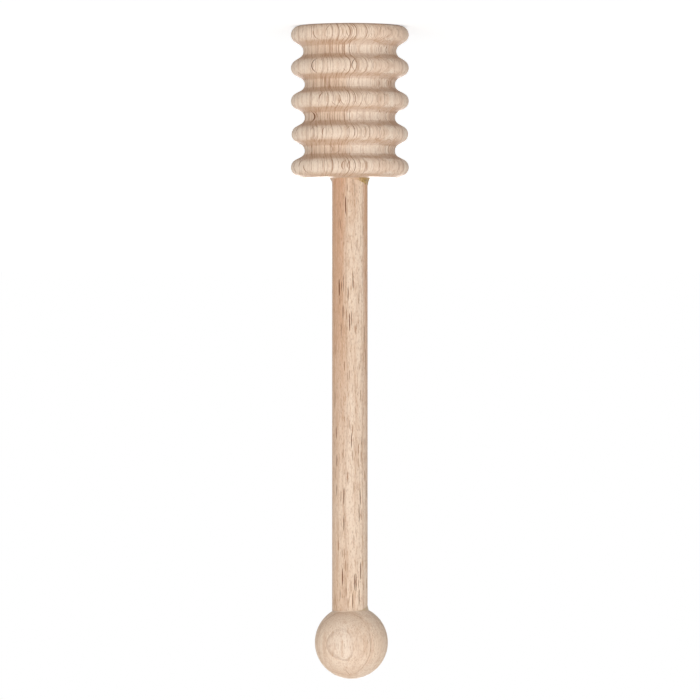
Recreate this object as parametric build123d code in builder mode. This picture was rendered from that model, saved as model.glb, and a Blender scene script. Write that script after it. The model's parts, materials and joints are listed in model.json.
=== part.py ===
from build123d import *

import os
from math import atan2, cos, degrees, hypot, radians, sin, sqrt, tan

# A honey dipper: a turned beech head with ridges and grooves, a straight beech dowel as its
# handle and a turned beech ball as its knob. The dowel is glued into a blind socket in each.
# Millimetres. The dipper stands on the flat end of its head, with its handle upright: the
# origin is the centre of that flat end, and +Z runs along the handle towards the ball.

# Whole dipper, from the flat end of the head to the crown of the ball
overall_length = 160.0

# Head: ridges turned at an even pitch, with rounded crests, straight flanks and grooves with
# round floors between. A flank's length is a share of the slant from its crest to its floor.
# Ridges and grooves are counted from 0 at the flat end. Groove 0 is a little shallower, and
# the low ridge stands a little lower than the others.
ridge_count = 5
ridge_pitch = 8.125
ridge_diameter = 28.9
groove_depth = 3.38
shallow_groove_depth = 3.05
crest_radius = 2.08
flank_share = 0.28
end_round = 2.15
shoulder_angle = 22.0
shoulder_flank_length = 1.77
low_ridge = 3
low_ridge_drop = 0.15

# Handle
dowel_diameter = 8.7
dowel_chamfer = 0.5

# Ball, drilled a little off its centre
ball_diameter = 17.9
ball_off_centre = 0.37

# Sockets: blind holes with the cone that a drill leaves at the bottom
head_socket_depth = 20.0
ball_socket_depth = 9.0
drill_point_angle = 118.0
glue_gap = 0.1
end_gap = 0.4
mouth_overrun = 2.0

# Glue squeezed out at each mouth as a collar, wider and higher on one side; its widths are
# measured from the socket's edge, and its directions are degrees from +X, turning towards +Y
collar_feather = 0.05
head_collar_low = 0.25
head_collar_high = 1.3
head_collar_thin = 0.1
head_collar_thick = 0.7
head_collar_direction = 205.0
ball_collar_low = 0.15
ball_collar_high = 0.9
ball_collar_thin = 0.1
ball_collar_thick = 0.4
ball_collar_direction = 195.0

# Places that follow from the sizes above
ridge_radius = ridge_diameter / 2
dowel_radius = dowel_diameter / 2
ball_radius = ball_diameter / 2
socket_radius = dowel_radius + glue_gap
drill_point_height = socket_radius / tan(radians(drill_point_angle / 2))

last_crest_z = end_round + (ridge_count - 1) * ridge_pitch
crest_turn = 90.0 - shoulder_angle
ball_z = overall_length - ball_radius
ball_pole_z = ball_z - ball_radius
ball_mouth_z = ball_z - sqrt(ball_radius**2 - dowel_radius**2)
ball_collar_foot_z = ball_mouth_z + ball_collar_thick


def crest(index):
    """Radius and height of one ridge's crest, counted from the flat end."""
    drop = low_ridge_drop if index == low_ridge else 0
    return ridge_radius - drop, end_round + index * ridge_pitch


def groove_side(crest_r, crest_z, floor_r, floor_z):
    """One side of a groove: a crest arc, a straight flank and the arc of the groove's floor."""
    rise = floor_z - crest_z
    half_pitch = abs(rise)
    side = rise / half_pitch
    depth = crest_r - floor_r
    flank = flank_share * hypot(half_pitch, depth)
    radii = (half_pitch**2 + depth**2 - flank**2) / (2 * depth)
    floor_radius = radii - crest_radius
    turn = side * degrees(atan2(half_pitch, radii - depth) - atan2(flank, radii))
    crest_arc = CenterArc((crest_r - crest_radius, crest_z), crest_radius, 0, turn)
    floor_arc = CenterArc((floor_r + floor_radius, floor_z), floor_radius, 180, turn)
    Line(crest_arc @ 1, floor_arc @ 1)


def groove(index):
    """Both sides of the groove between two neighbouring ridges."""
    depth = shallow_groove_depth if index == 0 else groove_depth
    floor_r = ridge_radius - depth
    floor_z = end_round + (index + 0.5) * ridge_pitch
    groove_side(*crest(index), floor_r, floor_z)
    groove_side(*crest(index + 1), floor_r, floor_z)


def socket_outline(depth_z, mouth_z, towards):
    """Half section of a drilled socket; towards is +1 where the drill went up, -1 where down."""
    tip_z = depth_z + towards * drill_point_height
    Polyline((0, mouth_z), (socket_radius, mouth_z), (socket_radius, depth_z), (0, tip_z), close=True)


def glue_collar(foot_z, low_z, high_z, thin, thick, direction):
    """Squeezed-out glue round the dowel: a round foot, and a feathered edge that slants from
    low_z on its thin side to high_z on its thick side."""
    thick_side = Vector(cos(radians(direction)), sin(radians(direction)), 0)
    slope = (high_z - low_z) / dowel_diameter
    edge_plane = Plane(
        origin=(0, 0, (low_z + high_z) / 2),
        x_dir=(1, 0, slope * thick_side.X),
        z_dir=Vector(0, 0, 1) - thick_side * slope,
    )
    with BuildPart() as collar:
        with BuildSketch(Plane.XY.offset(foot_z)):
            with Locations(thick_side * ((thick - thin) / 2)):
                Circle(socket_radius + (thin + thick) / 2)
        with BuildSketch(edge_plane):
            Circle(dowel_radius + collar_feather)
        loft()
    return collar.part


os.makedirs("parts", exist_ok=True)

# Head: one turned piece, with the socket drilled from its shoulder
with BuildPart() as dipper_head:
    with BuildSketch(Plane.XZ):
        with BuildLine():
            CenterArc((ridge_radius - end_round, end_round), end_round, 0, -90)
            for groove_index in range(ridge_count - 1):
                groove(groove_index)
            last_crest_r, _ = crest(ridge_count - 1)
            shoulder_arc = CenterArc(
                (last_crest_r - crest_radius, last_crest_z), crest_radius, 0, crest_turn
            )
            shoulder_flank = PolarLine(shoulder_arc @ 1, shoulder_flank_length, crest_turn + 90)
            shoulder_rim = shoulder_flank @ 1
            Polyline(shoulder_rim, (0, shoulder_rim.Y), (0, 0), (ridge_radius - end_round, 0))
        make_face()
    revolve(axis=Axis.Z)
    head_length = shoulder_rim.Y
    head_seat_z = head_length - head_socket_depth
    with BuildSketch(Plane.XZ):
        with BuildLine():
            socket_outline(head_seat_z, head_length + mouth_overrun, -1)
        make_face()
    revolve(axis=Axis.Z, mode=Mode.SUBTRACT)

dipper_head.part.label = "dipper_head"
export_step(dipper_head.part, "parts/dipper_head.step")

# Handle: a plain dowel that stops short of both socket bottoms
dowel_bottom_z = head_seat_z + end_gap
ball_seat_z = ball_pole_z + ball_socket_depth
dowel_top_z = ball_seat_z - end_gap
with BuildPart() as handle_dowel:
    with BuildSketch(Plane.XY.offset(dowel_bottom_z)):
        Circle(dowel_radius)
    extrude(amount=dowel_top_z - dowel_bottom_z)
    chamfer(handle_dowel.edges().filter_by(GeomType.CIRCLE), length=dowel_chamfer)

handle_dowel.part.label = "handle_dowel"
export_step(handle_dowel.part, "parts/handle_dowel.step")

# Ball knob: a turned sphere with its socket drilled upwards, off centre
with BuildPart() as end_ball:
    with Locations((-ball_off_centre, 0, ball_z)):
        Sphere(ball_radius)
    with BuildSketch(Plane.XZ):
        with BuildLine():
            socket_outline(ball_seat_z, ball_pole_z - mouth_overrun, 1)
        make_face()
    revolve(axis=Axis.Z, mode=Mode.SUBTRACT)

end_ball.part.label = "end_ball"
export_step(end_ball.part, "parts/end_ball.step")

# Glue in the head: it fills the socket around and under the dowel, with a collar on the shoulder
head_collar = glue_collar(
    head_length,
    head_length + head_collar_low,
    head_length + head_collar_high,
    head_collar_thin,
    head_collar_thick,
    head_collar_direction,
)
with BuildPart() as head_glue:
    with BuildSketch(Plane.XZ):
        with BuildLine():
            socket_outline(head_seat_z, head_length, -1)
        make_face()
    revolve(axis=Axis.Z)
    add(head_collar)
    add(handle_dowel.part, mode=Mode.SUBTRACT)

head_glue.part.label = "head_glue"
export_step(head_glue.part, "parts/head_glue.step")

# Glue in the ball: the same, with a smaller collar that dies into the round of the ball
ball_collar = glue_collar(
    ball_collar_foot_z,
    ball_mouth_z - ball_collar_low,
    ball_mouth_z - ball_collar_high,
    ball_collar_thin,
    ball_collar_thick,
    ball_collar_direction,
)
with BuildPart() as ball_glue:
    with BuildSketch(Plane.XZ):
        with BuildLine():
            socket_outline(ball_seat_z, ball_collar_foot_z, 1)
        make_face()
    revolve(axis=Axis.Z)
    add(ball_collar)
    add(handle_dowel.part, mode=Mode.SUBTRACT)
    add(end_ball.part, mode=Mode.SUBTRACT)

ball_glue.part.label = "ball_glue"
export_step(ball_glue.part, "parts/ball_glue.step")

print(f"head length {head_length:.2f}, dowel length {dowel_top_z - dowel_bottom_z:.2f}")
print(f"flat end diameter {2 * (ridge_radius - end_round):.2f}")
for piece in (dipper_head, handle_dowel, end_ball, head_glue, ball_glue):
    print(f"{piece.part.label}: {len(piece.part.solids())} solid, {piece.part.volume:.1f} mm3")
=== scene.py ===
import json
from math import cos, pi, radians, sin, sqrt
from typing import NamedTuple

import bpy
from mathutils import Color, Matrix, Vector, noise

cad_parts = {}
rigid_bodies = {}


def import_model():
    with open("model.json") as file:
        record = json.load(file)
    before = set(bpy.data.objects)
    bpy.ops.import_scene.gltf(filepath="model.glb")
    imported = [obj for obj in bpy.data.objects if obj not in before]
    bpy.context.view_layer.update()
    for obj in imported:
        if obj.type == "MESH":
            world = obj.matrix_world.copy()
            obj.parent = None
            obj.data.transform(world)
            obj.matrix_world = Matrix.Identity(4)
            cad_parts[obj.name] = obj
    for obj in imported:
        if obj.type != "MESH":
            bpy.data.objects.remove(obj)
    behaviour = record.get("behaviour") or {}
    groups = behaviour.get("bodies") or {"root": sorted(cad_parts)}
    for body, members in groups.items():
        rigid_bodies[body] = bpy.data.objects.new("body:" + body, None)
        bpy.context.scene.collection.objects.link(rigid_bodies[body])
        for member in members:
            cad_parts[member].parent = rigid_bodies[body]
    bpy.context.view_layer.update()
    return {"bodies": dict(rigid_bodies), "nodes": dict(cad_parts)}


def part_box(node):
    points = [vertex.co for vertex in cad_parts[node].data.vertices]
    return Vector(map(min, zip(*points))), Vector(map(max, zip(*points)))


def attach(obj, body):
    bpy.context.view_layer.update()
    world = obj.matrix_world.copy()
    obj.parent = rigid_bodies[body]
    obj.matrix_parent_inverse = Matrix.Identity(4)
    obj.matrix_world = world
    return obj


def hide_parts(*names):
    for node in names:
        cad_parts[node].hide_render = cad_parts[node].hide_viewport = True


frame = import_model()

# A honey dipper of turned beech on a white ground. The scene is in metres, the figure of the
# wood is worked out in millimetres.
MM = 0.001

# The photograph, in pixels: its side, the places in it that set the scale, from the top left,
# and how far off its eye is
PICTURE_SIDE = 700
AXIS_X = 349.35
FLAT_END_Y = 25.6
BALL_CROWN_Y = 678.2
EYE_DISTANCE = 5230


class Marks(NamedTuple):
    """Noise drawn out along the grain: the marks' width and length in mm, and how fine it is."""

    width: float
    length: float
    detail: float = 2.0
    roughness: float = 0.5


# Figure of the wood and the glue
TONE = Marks(5.0, 70.0)
BROAD_STREAK = Marks(1.1, 22.0, detail=3.0)
FIBRE = Marks(0.24, 2.4, detail=3.0, roughness=0.6)
PORE = Marks(0.16, 0.8, detail=1.0)
RAGGED = Marks(0.5, 3.0, detail=3.0, roughness=0.6)
WEAVE = Marks(6.0, 30.0)
PATCH = Marks(5.0, 9.0)
GLUE_LUMP = Marks(0.5, 0.5, detail=3.0)
GLUE_SPECK = Marks(0.12, 0.12)

# Middle of a noise and how far it swings, and what sets two noises of one kind apart
NOISE_MIDDLE = 0.5
NOISE_SWING = 0.25
WEAVE_APART = (97.0, 0, 0)
DASH_APART = 31

# Sizes in the wood, in mm; the grids of the ray flecks are given as width and length
RAGGED_REACH = 0.18
LAYER_WIDTH = 0.19
LAYER_REACH = 3.0
LAYER_LENGTH = 9.0
RAY_REACH = 6.0
RAY_GRID = (0.36, 8.0)
DASH_GRID = (0.34, 5.0)
TOOL_MARK = 0.35
ZONE_EDGE = 0.3
HEART_EDGE_INSIDE = 0.3
HEART_EDGE_OUTSIDE = 0.1

# Depths below the head's crests, in mm, between which the painted shade of the grooves gives way to
# the painted light of the crests
GROOVE_SHADE_DEPTHS = (1.85, 0.65)
CREST_LIGHT_DEPTHS = (1.25, 0.25)
# Depths over which the end grain's darkening in the grooves, partly a painted shade, fades out on the
# ridges
GROOVE_END_SHADE_DEPTHS = (1.55, 0.65)

# The dowel's pith lies well to one side. Its rings are told by their distance from there, and
# its stain fades between two heights above the floor, all in mm.
DOWEL_PITH = 34.0
WARM_RING = DOWEL_PITH + 2.68
DARK_RING = DOWEL_PITH + 3.99
STAIN_START = (DOWEL_PITH, DOWEL_PITH + 0.6)
STAIN_STOP = (DOWEL_PITH + 3.3, DOWEL_PITH + 4.0)
STAIN_HEIGHTS = (45.0, 125.0)

# Where marks start to show and where they are full, on the scale of what makes them
LATE_WOOD = (0.25, 1.0)
TONE_DARK = (0.50, 0.66)
TONE_PALE = (0.50, 0.34)
BROAD_DARK = (0.50, 0.68)
FIBRE_DARK = (0.52, 0.66)
FIBRE_PALE = (0.48, 0.34)
LAYER_DARK = (0.50, 0.68)
LAYER_PALE = (0.48, 0.32)
PORE_DARK = (0.55, 0.70)
END_SLOPES = (0.44, 0.68)
GLUE_DARK_LUMP = (0.35, 0.65)
GLUE_THICK = (0.5, 0.85)
GLUE_DARK_SPECK = (0.55, 0.75)

# Where a fleck fades out from the middle of its cell, and the heart on sloping faces
FLECK_EDGE = (0.24, 0.32)
HEART_SLOPES = (0.80, 0.95)

# Smooth steps, each as start, stop, value before and value after
RAGGED_LINE = (0.40, 0.60, 0.35, 1.0)
PATCHY_LINE = (0.42, 0.58, 0.25, 1.0)
RING_LINE = (0.3, 0.7, 0.4, 1.0)
STRONG_LINE = (0.38, 0.50, 0.4, 1.0)
ACROSS_RAYS = (0.2, 0.7, 0.2, 1.0)
EDGE_ON_LAYERS = (0.5, 1.0, 1.0, 0.35)
WOOD_ROUGHNESS = (0.3, 0.7, 0.55, 0.75)
GLUE_ROUGHNESS = (0.3, 0.7, 0.22, 0.42)

# Rings -1 and 0 end in the strong lines: the middle of their numbers and the reach round it
STRONG_RINGS = (-0.5, 1.0)

# Strength of the marks for which a piece sets none of its own
LATE_SHARE = 0.28
RING_SHARE = 0.25
TONE_DARK_SHARE = 0.45
TONE_PALE_SHARE = 0.35
BROAD_SHARE = 0.50
# Painted light: how far the head's crests are lightened towards cream
CREST_LIGHT_SHARE = 0.40
STAIN_SHARE = 0.7
DASH_COLOUR_SHARE = 0.9
SPECK_SHARE = 0.4

# Shares of other values: of a line's width, of the strengths that a piece sets, of the flecks
LINE_RISE_SHARE = 0.23
LINE_CORE_SHARE = 0.31
STRONG_LINE_SHARE = 1 / 3
PALE_SHARE = 1 / 3
PORE_SHARE = 0.8
FULL_FLECK_SHARE = 1 / 3
# Painted shade: the dark layers are made stronger by this share in the head's grooves
GROOVE_SHADE_LAYER_SHARE = 1.3
HEART_LAYER_SHARE = 0.5
# Share of the end grain's darkening left on the ridges; the fuller darkening in the grooves is partly
# painted shade
RIDGE_END_SHARE = 0.15
HEART_END_SHARE = 0.65

# How fine and how rough the noise of the layers is
LAYER_DETAIL = 1.5
LAYER_ROUGHNESS = 0.6

# Bumps of the skin: their parts, and how deep they go in mm
FIBRE_BUMP = 0.5
PORE_BUMP = -0.3
RAY_BUMP = -0.4
TOOL_BUMP = 0.5
SPECK_BUMP = 0.3
WOOD_BUMPS = 0.03
GLUE_BUMPS = 0.1

# How raw wood scatters the light and how much it shines
RAW_WOOD = {"Diffuse Roughness": 0.5, "Specular IOR Level": 0.5}

# Sockets of a mix node that carry colours, by number, because several have the same name
MIX_FIRST = 6
MIX_SECOND = 7
MIX_RESULT = 2

# Colours of the wood and the glue, in sRGB steps of 255. They were changed until the lit wood
# came close to the photograph's.
COLOUR_STEPS = 255
CREAM = (238, 223, 206)
PALE = (231, 208, 184)
TAN = (210, 178, 149)
RUST = (195, 154, 122)
LINE = (164, 121, 89)
FLECK = (112, 64, 26)
ORANGE = (198, 146, 106)
END_GRAIN = (178, 138, 106)
GLUE_AMBER = (202, 170, 106)
GLUE_DARK = (160, 126, 68)

# Beads of squeezed-out glue: the steps of their mesh, and their least sizes in mm
BEAD_STEPS = 240
BEAD_LEVELS = 8
BEAD_LOW = 0.12
BEAD_THIN = 0.06
BEAD_SUNK = 0.05

# Lumps of the beads: how close they come, and their share of the size. The powers say how
# hollow a flank is and how steeply it climbs.
BEAD_LUMPS = 3.0
BEAD_APART = 7.7
HEIGHT_LUMP_SHARE = 0.5
WIDTH_LUMP_SHARE = 0.6
BEAD_WOBBLES = 2.1
BEAD_WOBBLES_UP = 2.5
BEAD_HOLLOW = 1.4
BEAD_STEEPNESS = 1.2

# The glue's amber side, in degrees from the front, and how ragged its edge is
AMBER_SIDE = 80
AMBER_RAGGED = 0.3


class Lamp(NamedTuple):
    """A square softbox. Place and side are in m; level 1 lights a white card to white."""

    name: str
    place: Vector
    side: float
    level: float


# Camera, floor and lamps
WHITE = (1.0, 1.0, 1.0, 1.0)
SENSOR_WIDTH = 36.0
FLOOR_REACH = 4.0
FLOOR_SHARE = 0.75
FLOOR_WHITE = 1.04
WORLD_LEVEL = 0.32
HIGH_LAMP = Lamp("high_softbox", Vector((0.05, -1.2, 1.2)), side=1.0, level=0.33)
FRONT_LAMP = Lamp("front_softbox", Vector((0.05, -1.6, 0.09)), side=1.0, level=0.955)
BACK_LAMP = Lamp("back_softbox", Vector((0.0, 2.2, 0.5)), side=0.5, level=0.7)

# What follows from the frame: in m the whole length and the middle, in mm the rest
whole_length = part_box("end_ball")[1].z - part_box("dipper_head")[0].z
aim = Vector((0, 0, whole_length / 2))
head_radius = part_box("dipper_head")[1].x / MM
dowel_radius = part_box("handle_dowel")[1].x / MM
shoulder_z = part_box("dipper_head")[1].z / MM
ball_low, ball_high = (Vector(corner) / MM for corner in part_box("end_ball"))
ball_radius = (ball_high.x - ball_low.x) / 2
ball_centre = Vector(((ball_low.x + ball_high.x) / 2, 0, ball_high.z - ball_radius))


def colour(steps):
    """Linear colour of an sRGB colour given in steps of 255."""
    linear = Color([step / COLOUR_STEPS for step in steps]).from_srgb_to_scene_linear()
    return (*linear, 1.0)


def towards(degrees_round, distance):
    """Point of a cross section, by direction from the front (-Y) towards -X, in mm."""
    angle = radians(degrees_round)
    return Vector((-sin(angle) * distance, -cos(angle) * distance, 0))


class Graph:
    """The node tree of a material or world, with a short call for each kind of node."""

    def __init__(self, owner, output="ShaderNodeOutputMaterial"):
        self.owner = owner
        owner.use_nodes = True
        self.tree = owner.node_tree
        self.tree.nodes.clear()
        self.output = self.node(output, {})

    def put(self, socket, value):
        """Links a socket to another, or sets its value."""
        if isinstance(value, bpy.types.NodeSocket):
            self.tree.links.new(value, socket)
        else:
            socket.default_value = value

    def node(self, kind, inputs, **settings):
        made = self.tree.nodes.new(kind)
        for key, value in settings.items():
            setattr(made, key, value)
        for key, value in inputs.items():
            self.put(made.inputs[key], value)
        return made

    def math(self, operation, *values):
        return self.node("ShaderNodeMath", dict(enumerate(values)), operation=operation).outputs[0]

    def vector(self, operation, *values, output="Vector"):
        made = self.node("ShaderNodeVectorMath", dict(enumerate(values)), operation=operation)
        return made.outputs[output]

    def split(self, vector):
        return self.node("ShaderNodeSeparateXYZ", {0: vector}).outputs

    def joined(self, x, y, z):
        return self.node("ShaderNodeCombineXYZ", {0: x, 1: y, 2: z}).outputs[0]

    def across(self, x, y):
        """Length of a line in the cross section."""
        return self.math("SQRT", self.math("MULTIPLY_ADD", x, x, self.math("MULTIPLY", y, y)))

    def noise(self, vector, detail=2.0, roughness=0.5, **settings):
        inputs = {"Vector": vector, "Scale": 1.0, "Detail": detail, "Roughness": roughness}
        return self.node("ShaderNodeTexNoise", inputs, **settings)

    def streaks(self, point, marks):
        """Noise drawn out along the grain."""
        scales = (1 / marks.width, 1 / marks.width, 1 / marks.length)
        stretched = self.vector("MULTIPLY", point, scales)
        return self.noise(stretched, marks.detail, marks.roughness).outputs["Fac"]

    def ramp(self, value, start, stop, before=0.0, after=1.0):
        """Smooth step from one value to another, between start and stop."""
        inputs = dict(enumerate((value, start, stop, before, after)))
        made = self.node("ShaderNodeMapRange", inputs, interpolation_type="SMOOTHSTEP")
        return made.outputs[0]

    def mix(self, share, first, second):
        inputs = {0: share, MIX_FIRST: first, MIX_SECOND: second}
        return self.node("ShaderNodeMix", inputs, data_type="RGBA").outputs[MIX_RESULT]

    def tint(self, shade, value, span, share, steps):
        """The shade with a colour mixed in, up to a share where the value has passed the span."""
        return self.mix(self.ramp(value, *span, 0.0, share), shade, colour(steps))

    def scaled(self, value, factor):
        return self.math("MULTIPLY", value, factor)

    def finish(self, shade, roughness, height, depth, extra):
        """Skin of the piece, with its bumps; depth is how deep they go, in mm."""
        bump = self.node("ShaderNodeBump", {"Height": height, "Strength": 1.0, "Distance": depth * MM})
        inputs = {"Base Color": shade, "Roughness": roughness, "Normal": bump.outputs[0], **extra}
        surface = self.node("ShaderNodeBsdfPrincipled", inputs)
        self.put(self.output.inputs[0], surface.outputs[0])
        return self.owner


class Zone(NamedTuple):
    """Growth rings of another tone, between two distances from the pith in mm."""

    start: float
    stop: float
    steps: tuple
    share: float


class Cut(NamedTuple):
    """How a piece was cut from its beech, in mm, and how strongly each kind of mark shows.

    pith is the centre of the growth rings in the cross section, and late_line is how far from it
    a strong line runs; weave is how far the grain wanders. A heart is a round, pale place in the
    cross section. crest_radius is there on a piece with ridges, whose grooves get painted shade and
    whose crests get painted light.
    """

    name: str
    pith: Vector
    ring_width: float
    late_line: float
    weave: float
    seed: float
    zones: list
    ray_share: float
    dash_share: float
    line_share: float
    fibre_share: float
    layer_share: float
    end_share: float = 0.4
    line_width: float = 0.26
    turned: bool = False
    stained: bool = False
    heart_middle: Vector = None
    heart_reach: float = 0.0
    crest_radius: float = 0.0
    # Painted shade: how far the grooves are darkened towards tan
    groove_shade_share: float = 0.0


class Beech:
    """Raw beech, worked out as a solid so that every cut shows the same rings and rays."""

    def __init__(self, cut):
        self.cut = cut
        self.graph = Graph(bpy.data.materials.new(cut.name))
        self.find_places()
        self.find_rings()
        self.fibre = self.graph.streaks(self.grain, FIBRE)
        self.pore = self.graph.streaks(self.grain, PORE)
        self.layer = self.layers()
        self.rays = self.flecks(RAY_GRID, cut.ray_share, cut.seed)
        if cut.heart_reach:
            self.in_heart = self.heart()

    def find_places(self):
        """Places in the wood, whose grain wanders a little from the straight, and the surface."""
        graph, cut = self.graph, self.cut
        given = graph.node("ShaderNodeTexCoord", {}).outputs
        point = graph.vector("MULTIPLY", given["Object"], (1 / MM,) * 3)
        self.seeded = graph.vector("ADD", point, (cut.seed,) * 3)
        sideways = graph.streaks(self.seeded, WEAVE)
        inwards = graph.streaks(graph.vector("ADD", self.seeded, WEAVE_APART), WEAVE)
        drift = graph.joined(sideways, inwards, NOISE_MIDDLE)
        drift = graph.vector("SUBTRACT", drift, (NOISE_MIDDLE,) * 3)
        reach = cut.weave / NOISE_SWING
        drift = graph.vector("MULTIPLY", drift, (reach, reach, 0))
        self.grain = graph.vector("ADD", self.seeded, drift)
        self.drifted = graph.vector("ADD", point, drift)
        from_pith = graph.vector("SUBTRACT", self.drifted, tuple(cut.pith))
        self.x, self.y, self.z = graph.split(from_pith)
        self.radius = graph.across(self.x, self.y)
        self.turn = graph.math("ARCTAN2", self.y, self.x)
        flat_x, flat_y, self.up = graph.split(point)
        self.out = graph.across(flat_x, flat_y)

        normal_x, normal_y, normal_z = graph.split(given["Normal"])
        self.slope = graph.math("ABSOLUTE", normal_z)
        outwards = graph.math("MULTIPLY", normal_y, self.y)
        outwards = graph.math("MULTIPLY_ADD", normal_x, self.x, outwards)
        self.outwards = graph.math("ABSOLUTE", graph.math("DIVIDE", outwards, self.radius))

    def find_rings(self):
        """Growth rings: pale early wood that darkens to a thin, ragged late line."""
        graph, cut = self.graph, self.cut
        ragged = graph.streaks(self.grain, RAGGED)
        rings = graph.math("SUBTRACT", self.radius, RAGGED_REACH)
        rings = graph.math("MULTIPLY_ADD", ragged, 2 * RAGGED_REACH, rings)
        rings = graph.scaled(graph.math("SUBTRACT", rings, cut.late_line), 1 / cut.ring_width)
        phase = graph.math("FRACT", rings)
        number = graph.math("FLOOR", rings)
        inputs = {"W": graph.math("ADD", number, cut.seed)}
        draw = graph.node("ShaderNodeTexWhiteNoise", inputs, noise_dimensions="1D")
        self.ring_tone = draw.outputs["Value"]
        self.late = graph.ramp(phase, *LATE_WOOD)

        left = graph.math("MULTIPLY", graph.math("SUBTRACT", 1.0, phase), cut.ring_width)
        rise = graph.ramp(left, 0.0, LINE_RISE_SHARE * cut.line_width)
        fall = graph.ramp(left, LINE_CORE_SHARE * cut.line_width, cut.line_width, 1.0, 0.0)
        patches = graph.streaks(self.seeded, PATCH)
        faint = graph.scaled(graph.ramp(ragged, *RAGGED_LINE), graph.ramp(patches, *PATCHY_LINE))
        faint = graph.scaled(faint, graph.ramp(self.ring_tone, *RING_LINE))
        strong = graph.math("COMPARE", number, *STRONG_RINGS)
        self.strong = graph.scaled(strong, graph.ramp(patches, *STRONG_LINE))
        self.line = graph.scaled(graph.scaled(rise, fall), graph.math("MAXIMUM", faint, self.strong))

    def layers(self):
        """Thin layers that follow the rings."""
        graph = self.graph
        spread = self.cut.pith.length / LAYER_REACH
        round_x = graph.scaled(graph.math("DIVIDE", self.x, self.radius), spread)
        round_y = graph.scaled(graph.math("DIVIDE", self.y, self.radius), spread)
        place_round = graph.joined(round_x, round_y, graph.scaled(self.z, 1 / LAYER_LENGTH))
        made = graph.noise(place_round, LAYER_DETAIL, LAYER_ROUGHNESS, noise_dimensions="4D")
        graph.put(made.inputs["W"], graph.scaled(self.radius, 1 / LAYER_WIDTH))
        return made.outputs["Fac"]

    def flecks(self, grid, share, step):
        """Rays: thin upright blades that run out from the pith. Cut across they are short dark
        flecks, and where the surface runs along them they hardly show."""
        graph = self.graph
        width, length = grid
        across = graph.scaled(self.turn, self.cut.pith.length / width)
        outwards = graph.scaled(self.radius, 1 / RAY_REACH)
        blade = graph.joined(across, outwards, graph.scaled(self.z, 1 / length))
        inputs = {"Vector": graph.vector("ADD", blade, (step,) * 3), "Scale": 1.0}
        cells = graph.node("ShaderNodeTexVoronoi", inputs)
        chance = graph.split(cells.outputs["Color"])[0]
        found = graph.ramp(cells.outputs["Distance"], *FLECK_EDGE, 1.0, 0.0)
        found = graph.scaled(found, graph.ramp(chance, 1 - share, 1 - share * FULL_FLECK_SHARE))
        return graph.scaled(found, graph.ramp(self.outwards, *ACROSS_RAYS))

    def heart(self):
        """1 in the heart, and 0 outside it and on faces that are cut square across it."""
        graph, reach = self.graph, self.cut.heart_reach
        away = graph.vector("SUBTRACT", self.drifted, tuple(self.cut.heart_middle))
        away_x, away_y, _ = graph.split(away)
        start, stop = reach - HEART_EDGE_INSIDE, reach + HEART_EDGE_OUTSIDE
        inside = graph.ramp(graph.across(away_x, away_y), start, stop, 1.0, 0.0)
        return graph.scaled(inside, graph.ramp(self.slope, *HEART_SLOPES, 1.0, 0.0))

    def up_to_crest(self, depths, before, after):
        """Smooth step from a groove to a ridge, between two depths below the crests."""
        start, stop = (self.cut.crest_radius - depth for depth in depths)
        return self.graph.ramp(self.out, start, stop, before, after)

    def growth(self):
        """Colour of the growth: rings, long bands, zones and the heart, with painted shade in the
        grooves and painted light on the crests of a ridged piece.
        """
        graph, cut = self.graph, self.cut
        tone = graph.streaks(self.grain, TONE)
        shade = graph.mix(graph.scaled(self.late, LATE_SHARE), colour(PALE), colour(TAN))
        shade = graph.mix(graph.scaled(self.ring_tone, RING_SHARE), shade, colour(TAN))
        shade = graph.tint(shade, tone, TONE_DARK, TONE_DARK_SHARE, TAN)
        shade = graph.tint(shade, tone, TONE_PALE, TONE_PALE_SHARE, CREAM)
        if cut.crest_radius:
            # Painted shade: the grooves darkened towards tan
            groove = self.up_to_crest(GROOVE_SHADE_DEPTHS, cut.groove_shade_share, 0.0)
            shade = graph.mix(groove, shade, colour(TAN))
            # Painted light: the crests lightened towards cream
            crest = self.up_to_crest(CREST_LIGHT_DEPTHS, 0.0, CREST_LIGHT_SHARE)
            shade = graph.mix(crest, shade, colour(CREAM))
        for zone in cut.zones:
            start = graph.ramp(self.radius, zone.start - ZONE_EDGE, zone.start + ZONE_EDGE)
            ends = (zone.stop - ZONE_EDGE, zone.stop + ZONE_EDGE)
            stop = graph.ramp(self.radius, *ends, zone.share, 0.0)
            shade = graph.mix(graph.scaled(start, stop), shade, colour(zone.steps))
        if cut.heart_reach:
            shade = graph.mix(self.in_heart, shade, colour(CREAM))
        return self.stain(shade) if cut.stained else shade

    def stain(self, shade):
        """A warmer tone in the rings next to the pale ones, which fades towards the ball."""
        graph = self.graph
        start = graph.ramp(self.radius, *STAIN_START)
        inside = graph.scaled(start, graph.ramp(self.radius, *STAIN_STOP, 1.0, 0.0))
        along = graph.ramp(self.up, *STAIN_HEIGHTS, STAIN_SHARE, 0.0)
        return graph.mix(graph.scaled(inside, along), shade, colour(ORANGE))

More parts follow.
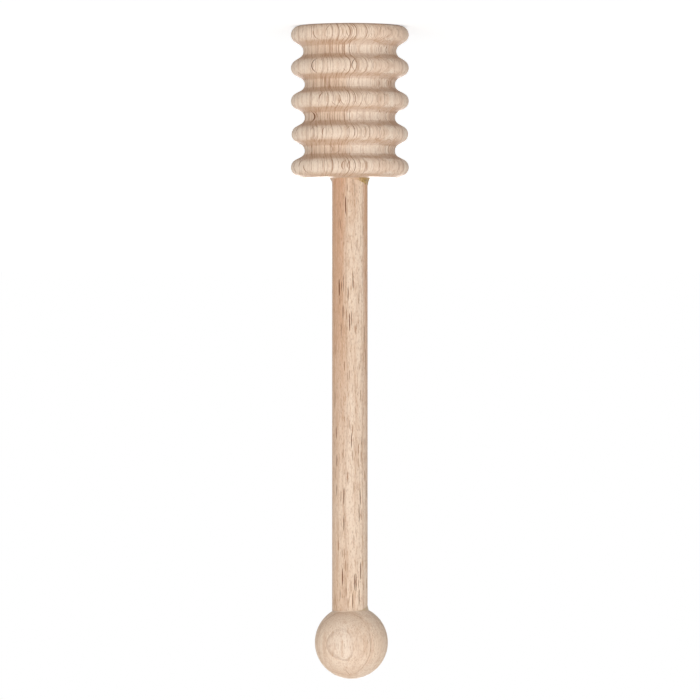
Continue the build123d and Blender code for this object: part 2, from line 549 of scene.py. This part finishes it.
    def marked(self, shade):
        """The shade with streaks, lines, fibres, layers, pores and ray flecks on it."""
        graph, cut = self.graph, self.cut
        broad = graph.streaks(self.grain, BROAD_STREAK)
        shade = graph.tint(shade, broad, BROAD_DARK, BROAD_SHARE, TAN)
        shade = graph.mix(graph.scaled(self.line, cut.line_share), shade, colour(LINE))
        strong = graph.scaled(self.line, self.strong)
        strong = graph.scaled(strong, cut.line_share**2 * STRONG_LINE_SHARE)
        shade = graph.mix(strong, shade, colour(FLECK))
        shade = graph.tint(shade, self.fibre, FIBRE_DARK, cut.fibre_share, RUST)
        shade = graph.tint(shade, self.fibre, FIBRE_PALE, cut.fibre_share * PALE_SHARE, CREAM)
        shade = graph.mix(self.dark_layers(), shade, colour(LINE))
        shade = graph.tint(shade, self.layer, LAYER_PALE, cut.layer_share * PALE_SHARE, CREAM)
        shade = graph.tint(shade, self.pore, PORE_DARK, cut.fibre_share * PORE_SHARE, LINE)
        dashes = self.flecks(DASH_GRID, cut.dash_share, cut.seed + DASH_APART)
        shade = graph.mix(graph.scaled(dashes, DASH_COLOUR_SHARE), shade, colour(LINE))
        return graph.mix(self.rays, shade, colour(FLECK))

    def dark_layers(self):
        """How strongly the dark layers show: less where the surface lies along them, and more in the
        head's grooves as painted shade.
        """
        graph, cut = self.graph, self.cut
        dark = graph.ramp(self.layer, *LAYER_DARK, 0.0, cut.layer_share)
        if cut.crest_radius:
            # Painted shade: stronger dark layers in the grooves
            dark = graph.scaled(dark, self.up_to_crest(GROOVE_SHADE_DEPTHS, GROOVE_SHADE_LAYER_SHARE, 1.0))
        if cut.heart_reach:
            in_heart = graph.ramp(self.in_heart, 0.0, 1.0, 1.0, HEART_LAYER_SHARE)
            dark = graph.scaled(dark, in_heart)
        return graph.scaled(dark, graph.ramp(self.outwards, *EDGE_ON_LAYERS))

    def end_grain(self, shade):
        """The shade darkened where the cut crosses the fibres. On the head this is kept weak on the
        ridges, so that in the grooves it is partly painted shade.
        """
        graph, cut = self.graph, self.cut
        ends = graph.ramp(self.slope, *END_SLOPES, 0.0, cut.end_share)
        if cut.crest_radius:
            # Partly painted shade: the end grain is darker in the grooves than on the ridges
            ends = graph.scaled(ends, self.up_to_crest(GROOVE_END_SHADE_DEPTHS, 1.0, RIDGE_END_SHARE))
        if cut.heart_reach:
            ends = graph.scaled(ends, graph.ramp(self.in_heart, 0.0, 1.0, 1.0, HEART_END_SHARE))
        return graph.mix(ends, shade, colour(END_GRAIN))

    def bumps(self):
        """Height of the raised fibres, sunk pores and rays, and marks of the turning tool."""
        graph = self.graph
        height = graph.math("MULTIPLY_ADD", self.fibre, FIBRE_BUMP, graph.scaled(self.pore, PORE_BUMP))
        height = graph.math("MULTIPLY_ADD", self.rays, RAY_BUMP, height)
        if self.cut.turned:
            place = graph.joined(self.out, self.up, self.cut.seed)
            marks = graph.noise(graph.vector("MULTIPLY", place, (1 / TOOL_MARK,) * 3)).outputs["Fac"]
            height = graph.math("MULTIPLY_ADD", marks, TOOL_BUMP, height)
        return height

    def material(self):
        """The finished material, with all its marks and bumps."""
        shade = self.end_grain(self.marked(self.growth()))
        roughness = self.graph.ramp(self.fibre, *WOOD_ROUGHNESS)
        return self.graph.finish(shade, roughness, self.bumps(), WOOD_BUMPS, RAW_WOOD)


def dress(node, material):
    """Gives a CAD piece its material."""
    for slot in frame["nodes"][node].material_slots:
        slot.material = material


# The head was cut close to the pith, on the side that the photograph shows
head_cut = Cut(
    "head_beech",
    pith=towards(degrees_round=45, distance=12.0),
    ring_width=1.1,
    late_line=9.3,
    weave=0.35,
    seed=3.0,
    zones=[
        Zone(0.0, 40.0, CREAM, share=0.35),
        Zone(2.2, 5.5, ORANGE, share=0.18),
        Zone(-1.0, 2.2, CREAM, share=0.9),
    ],
    ray_share=0.06,
    dash_share=0.40,
    line_share=0.9,
    fibre_share=0.3,
    layer_share=0.70,
    end_share=0.50,
    turned=True,
    heart_middle=towards(degrees_round=17, distance=9.3),
    heart_reach=4.4,
    crest_radius=head_radius,
    # painted shade in the grooves
    groove_shade_share=0.2,
)

# The dowel was sawn far from the pith, so its rings are nearly flat
dowel_cut = Cut(
    "dowel_beech",
    pith=towards(degrees_round=197, distance=DOWEL_PITH),
    ring_width=1.31,
    late_line=DARK_RING,
    weave=0.2,
    seed=11.0,
    zones=[
        Zone(WARM_RING, DARK_RING, RUST, share=0.05),
        Zone(DOWEL_PITH, WARM_RING, RUST, share=0.25),
    ],
    ray_share=0.34,
    dash_share=0.45,
    line_share=0.2,
    fibre_share=0.6,
    layer_share=0.35,
    stained=True,
)

# The ball's pith lies in front of it
ball_cut = Cut(
    "ball_beech",
    pith=towards(degrees_round=-18.6, distance=23.6),
    ring_width=3.7,
    late_line=15.85,
    weave=0.6,
    seed=47.0,
    zones=[
        Zone(10.0, 32.0, CREAM, share=0.2),
        Zone(10.0, 15.7, CREAM, share=0.6),
        Zone(15.7, 18.6, CREAM, share=0.2),
        Zone(19.3, 20.0, ORANGE, share=0.12),
    ],
    ray_share=0.005,
    dash_share=0.02,
    line_share=0.32,
    fibre_share=0.5,
    layer_share=0.18,
    end_share=0.1,
    line_width=0.5,
    turned=True,
)

dress("dipper_head", Beech(head_cut).material())
dress("handle_dowel", Beech(dowel_cut).material())
dress("end_ball", Beech(ball_cut).material())


def dried_glue(name, thin_colour, amber_share):
    """Wood glue that has dried to a slightly glossy skin: yellow-brown and lumpy where it is
    thick, and nearly as clear as the wood under it elsewhere."""
    graph = Graph(bpy.data.materials.new(name))
    place = graph.node("ShaderNodeTexCoord", {}).outputs["Object"]
    point = graph.vector("MULTIPLY", place, (1 / MM,) * 3)
    lumps = graph.streaks(point, GLUE_LUMP)
    specks = graph.streaks(point, GLUE_SPECK)
    way = graph.vector("NORMALIZE", graph.vector("MULTIPLY", point, (1, 1, 0)))
    side = graph.vector("DOT_PRODUCT", way, tuple(towards(AMBER_SIDE, 1)), output="Value")
    side = graph.math("SUBTRACT", side, AMBER_RAGGED)
    side = graph.math("MULTIPLY_ADD", lumps, 2 * AMBER_RAGGED, side)
    amber = graph.tint(colour(GLUE_AMBER), lumps, GLUE_DARK_LUMP, 1.0, GLUE_DARK)
    amber_there = graph.ramp(side, *GLUE_THICK, 0.0, amber_share)
    shade = graph.mix(amber_there, colour(thin_colour), amber)
    shade = graph.tint(shade, specks, GLUE_DARK_SPECK, SPECK_SHARE, FLECK)
    roughness = graph.ramp(lumps, *GLUE_ROUGHNESS)
    height = graph.math("MULTIPLY_ADD", specks, SPECK_BUMP, lumps)
    return graph.finish(shade, roughness, height, GLUE_BUMPS, {})


class Bump(NamedTuple):
    """A swelling of a bead: direction from the front and spread in degrees, reach in mm."""

    direction: float
    spread: float
    reach: float


class Bead(NamedTuple):
    """Shape of a bead. ground gives the height of what it stands on at a place in the cross
    section, and up is the way that it climbs the dowel, +1 or -1."""

    ground: object
    up: int
    heights: list
    widths: list


def swell(turn, bumps, base):
    """How far a bead reaches at a place round the dowel."""
    reach = base
    for bump in bumps:
        away = abs((turn - bump.direction + 180) % 360 - 180) / bump.spread
        reach += bump.reach * cos(min(away, 1) * pi / 2) ** 2
    return reach


def bead_row(bead, degrees_round):
    """Points of a bead at a place round the dowel, from its foot to its edge and back inside."""
    way = towards(degrees_round, 1)
    lump = noise.noise(Vector((way.x * BEAD_LUMPS, way.y * BEAD_LUMPS, bead.up * BEAD_APART)))
    height = swell(degrees_round, bead.heights, BEAD_LOW) * (1 + HEIGHT_LUMP_SHARE * lump)
    width = swell(degrees_round, bead.widths, BEAD_THIN) * (1 + WIDTH_LUMP_SHARE * lump)
    row = []
    for level in range(BEAD_LEVELS + 1):
        share = level / BEAD_LEVELS
        out = dowel_radius + BEAD_THIN + (width - BEAD_THIN) * (1 - share) ** BEAD_HOLLOW
        if level == BEAD_LEVELS:
            out = dowel_radius - BEAD_SUNK
        spot = way * out
        layer = share * BEAD_WOBBLES_UP + bead.up
        wobble = noise.noise(Vector((spot.x * BEAD_WOBBLES, spot.y * BEAD_WOBBLES, layer)))
        climb = height * share**BEAD_STEEPNESS + BEAD_THIN * wobble * share
        spot.z = bead.ground(spot.x, spot.y) + bead.up * climb
        row.append(spot)
    foot = row[0].copy()
    foot.z -= bead.up * BEAD_SUNK
    root = way * (dowel_radius - BEAD_SUNK)
    root.z = foot.z
    return [foot, *row, root]


def bead_faces(size, up):
    """Faces of a closed ring of rows, each of so many points."""
    faces = []
    for step in range(BEAD_STEPS):
        row = step * size
        next_row = (step + 1) % BEAD_STEPS * size
        for level in range(size):
            above = (level + 1) % size
            face = (row + level, next_row + level, next_row + above, row + above)
            faces.append(face if up > 0 else face[::-1])
    return faces


def glue_bead(name, node, bead, material):
    """A lumpy bead of glue round the dowel, in place of the CAD's plain collar."""
    rows = [bead_row(bead, 360 * step / BEAD_STEPS) for step in range(BEAD_STEPS)]
    points = [tuple(spot * MM) for row in rows for spot in row]
    mesh = bpy.data.meshes.new(name)
    mesh.from_pydata(points, [], bead_faces(len(rows[0]), bead.up))
    mesh.shade_smooth()
    mesh.materials.append(material)
    piece = bpy.data.objects.new(name, mesh)
    bpy.context.collection.objects.link(piece)
    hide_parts(node)
    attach(piece, next(iter(frame["bodies"])))


def shoulder(x, y):
    """Height of the head's shoulder, which is the same at every place beside the dowel."""
    return shoulder_z


def ball_underside(x, y):
    """Height of the ball's lower surface at a place in the cross section."""
    return ball_centre.z - sqrt(ball_radius**2 - (x - ball_centre.x) ** 2 - y**2)


head_bead = Bead(
    shoulder,
    up=1,
    heights=[
        Bump(direction=72, spread=50, reach=1.9),
        Bump(direction=25, spread=35, reach=0.45),
        Bump(direction=-90, spread=45, reach=0.9),
    ],
    widths=[
        Bump(direction=80, spread=60, reach=0.5),
        Bump(direction=-90, spread=45, reach=0.6),
    ],
)
ball_bead = Bead(
    ball_underside,
    up=-1,
    heights=[Bump(direction=85, spread=50, reach=0.9)],
    widths=[Bump(direction=85, spread=50, reach=0.25)],
)
glue_bead("head_bead", "head_glue", head_bead, dried_glue("head_bead", TAN, amber_share=1.0))
glue_bead("ball_bead", "ball_glue", ball_bead, dried_glue("ball_bead", PALE, amber_share=0.5))


def seen_by_eye(graph):
    """1 for what the eye sees, straight or in a gloss or a glass, and 0 for the light given."""
    path = graph.node("ShaderNodeLightPath", {}).outputs
    mirrored = graph.math("MAXIMUM", path["Is Glossy Ray"], path["Is Transmission Ray"])
    return graph.math("MAXIMUM", path["Is Camera Ray"], mirrored)


def lamp_on_floor(graph, lamp):
    """Brightness that one lamp gives the floor. It falls with the square of the distance, and
    each slant, at the lamp and at the floor, is a length divided by the distance again."""
    place = graph.node("ShaderNodeTexCoord", {}).outputs["Object"]
    to_lamp = graph.vector("SUBTRACT", tuple(lamp.place), place)
    back = lamp.place - aim
    facing = graph.vector("DOT_PRODUCT", to_lamp, tuple(back.normalized()), output="Value")
    distance = graph.vector("LENGTH", to_lamp, output="Value")
    square = graph.math("MULTIPLY", distance, distance)
    fall = graph.math("DIVIDE", facing, graph.math("MULTIPLY", square, square))
    return graph.scaled(fall, FLOOR_SHARE * lamp.level * back.length_squared * lamp.place.z)


def floor():
    """A wide pale floor under the dipper. To the eye it glows by what the world and the high
    lamp leave short of white, so that only the shadow shows on it."""
    ways = ((-1, -1), (1, -1), (1, 1), (-1, 1))
    corners = [(x * FLOOR_REACH, y * FLOOR_REACH, 0) for x, y in ways]
    mesh = bpy.data.meshes.new("floor")
    mesh.from_pydata(corners, [], [range(len(corners))])
    piece = bpy.data.objects.new("floor", mesh)
    bpy.context.collection.objects.link(piece)

    graph = Graph(bpy.data.materials.new("floor_paint"))
    lit = lamp_on_floor(graph, HIGH_LAMP)
    glow = graph.math("SUBTRACT", FLOOR_WHITE - FLOOR_SHARE * WORLD_LEVEL, lit)
    glow = graph.math("MULTIPLY", seen_by_eye(graph), glow)
    glow = graph.node("ShaderNodeEmission", {"Color": WHITE, "Strength": glow})
    diffuse = graph.node("ShaderNodeBsdfDiffuse", {"Color": (FLOOR_SHARE,) * 3 + (1.0,)})
    both = graph.node("ShaderNodeAddShader", {0: diffuse.outputs[0], 1: glow.outputs[0]})
    graph.put(graph.output.inputs[0], both.outputs[0])
    mesh.materials.append(graph.owner)
    return piece


def world():
    """Even light from all round, which the eye sees as white."""
    made = bpy.data.worlds.new("studio")
    bpy.context.scene.world = made
    graph = Graph(made, "ShaderNodeOutputWorld")
    dim = graph.node("ShaderNodeBackground", {"Color": WHITE, "Strength": WORLD_LEVEL})
    bright = graph.node("ShaderNodeBackground", {"Color": WHITE, "Strength": 1.0})
    inputs = {0: seen_by_eye(graph), 1: dim.outputs[0], 2: bright.outputs[0]}
    graph.put(graph.output.inputs[0], graph.node("ShaderNodeMixShader", inputs).outputs[0])


def softbox(lamp):
    """Hangs up a lamp that faces the dipper. A white card at distance d, lit by a small lamp of
    power P that faces it, has the brightness P / (pi * d) ** 2."""
    light = bpy.data.lights.new(lamp.name, "AREA")
    light.shape = "SQUARE"
    light.size = lamp.side
    light.energy = lamp.level * pi**2 * (lamp.place - aim).length_squared
    piece = bpy.data.objects.new(lamp.name, light)
    piece.location = lamp.place
    piece.rotation_euler = (aim - lamp.place).to_track_quat("-Z", "Y").to_euler()
    piece.visible_camera = False
    bpy.context.collection.objects.link(piece)
    return piece


def keep_off(piece, lamps):
    """Keeps the light of some lamps off one piece."""
    spared = bpy.data.collections.new("spared")
    spared.objects.link(piece)
    spared.collection_objects[0].light_linking.link_state = "EXCLUDE"
    for lamp in lamps:
        lamp.light_linking.receiver_collection = spared


def camera():
    """The photograph's camera: level with the middle of the picture and turned upside down."""
    scale = whole_length / (BALL_CROWN_Y - FLAT_END_Y)
    made = bpy.data.cameras.new("camera")
    made.sensor_width = SENSOR_WIDTH
    made.lens = SENSOR_WIDTH * EYE_DISTANCE / PICTURE_SIDE
    piece = bpy.data.objects.new("camera", made)
    right, up, back = Vector((-1, 0, 0)), Vector((0, 0, -1)), Vector((0, -1, 0))
    middle = (PICTURE_SIDE - 1) / 2
    place = Vector(((AXIS_X - middle) * scale, -EYE_DISTANCE * scale, (middle - FLAT_END_Y) * scale))
    piece.matrix_world = Matrix.Translation(place) @ Matrix((right, up, back)).transposed().to_4x4()
    bpy.context.collection.objects.link(piece)
    bpy.context.scene.camera = piece


world()
softbox(HIGH_LAMP)
keep_off(floor(), (softbox(FRONT_LAMP), softbox(BACK_LAMP)))
camera()
bpy.context.scene.view_settings.view_transform = "Standard"
